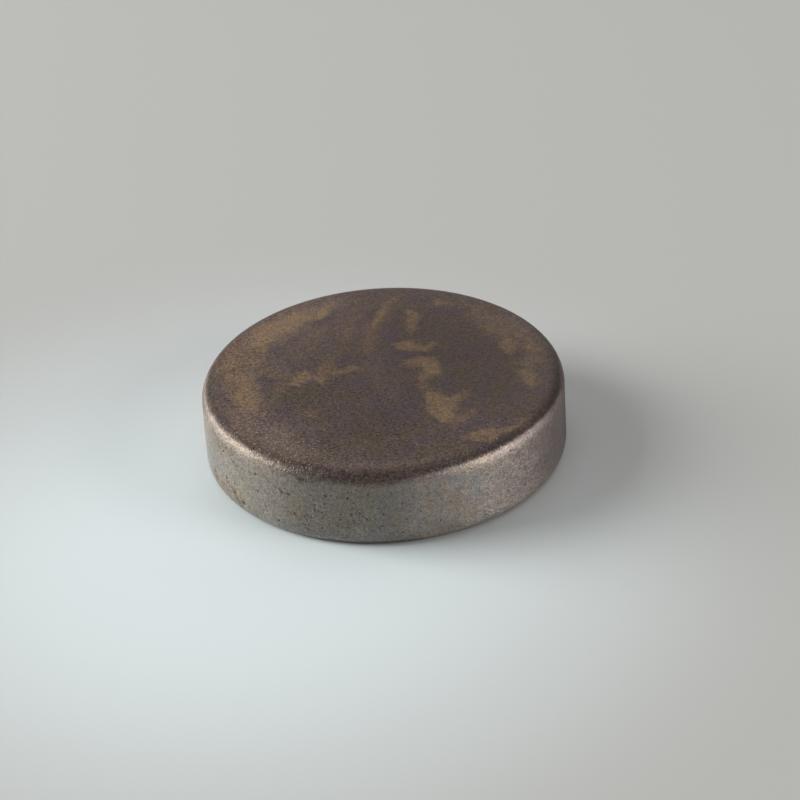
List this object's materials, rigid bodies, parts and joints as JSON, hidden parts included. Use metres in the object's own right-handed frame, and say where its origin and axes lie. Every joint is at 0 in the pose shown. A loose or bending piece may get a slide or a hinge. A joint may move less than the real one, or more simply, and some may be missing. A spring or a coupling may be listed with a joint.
{
  "type": "cylinder magnet",
  "caption": "Flat round disc magnet of bare dark metal with two flat faces, a plain round wall, softly rounded rims and brown-gold tarnish stains.",
  "frame": {"origin": "centre of the lower face, on the surface that the magnet lies on", "axes": "+Z along the magnet's axis, from the lower face to the upper face; -Y towards the side of the wall with the brown rust by the lower rim"},
  "size_m": [0.0194, 0.0194, 0.0044],
  "materials": {
    "magnet_metal": "bare satin magnet metal, fine sandy grain, brown-gold tarnish stains, dark pits and a little rust"
  },
  "bodies": {
    "root": {"magnet": "magnet_metal"}
  },
  "joints": []
}
